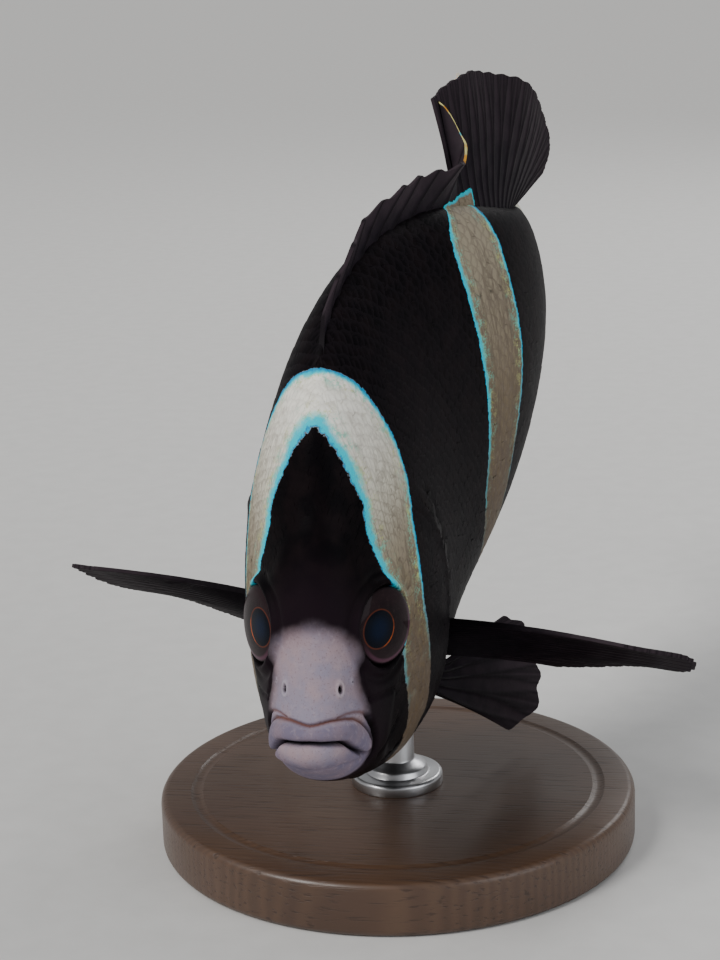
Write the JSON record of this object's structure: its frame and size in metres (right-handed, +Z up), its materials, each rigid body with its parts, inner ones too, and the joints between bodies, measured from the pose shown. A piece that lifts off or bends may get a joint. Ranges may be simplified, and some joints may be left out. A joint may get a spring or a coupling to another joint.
{
  "type": "clownfish model on a stand",
  "caption": "Still life-size model of a dark clownfish with pale bars, nose down and gently bent, on a round base with a short rod.",
  "frame": {"origin": "centre of the stand's underside, on the floor", "axes": "+Z up; the fish faces -Y, nose down, with its left side towards +X"},
  "size_m": [0.0711, 0.1061, 0.0848],
  "materials": {
    "skin": "satin, scaled, black with pale bars",
    "jaw_skin": "satin, pale pinkish grey",
    "dark_fin": "satin, rayed",
    "pale_fin": "satin, rayed",
    "eye": "wet gloss",
    "stand_base": "satin varnish",
    "stand_rod": "brushed"
  },
  "bodies": {
    "root": {"head": "skin", "trunk": "skin", "tail_stalk": "skin", "gill_cover_left": "skin", "gill_cover_right": "skin", "lower_jaw": "jaw_skin", "eye_left": "eye", "eye_right": "eye", "dorsal_fin_spiny": "dark_fin", "dorsal_fin_soft": "dark_fin", "anal_fin": "dark_fin", "pectoral_fin_left": "dark_fin", "pectoral_fin_right": "dark_fin", "pelvic_fin_left": "dark_fin", "pelvic_fin_right": "dark_fin", "tail_fin": "pale_fin", "stand_base": "stand_base", "stand_rod": "stand_rod"}
  },
  "joints": []
}
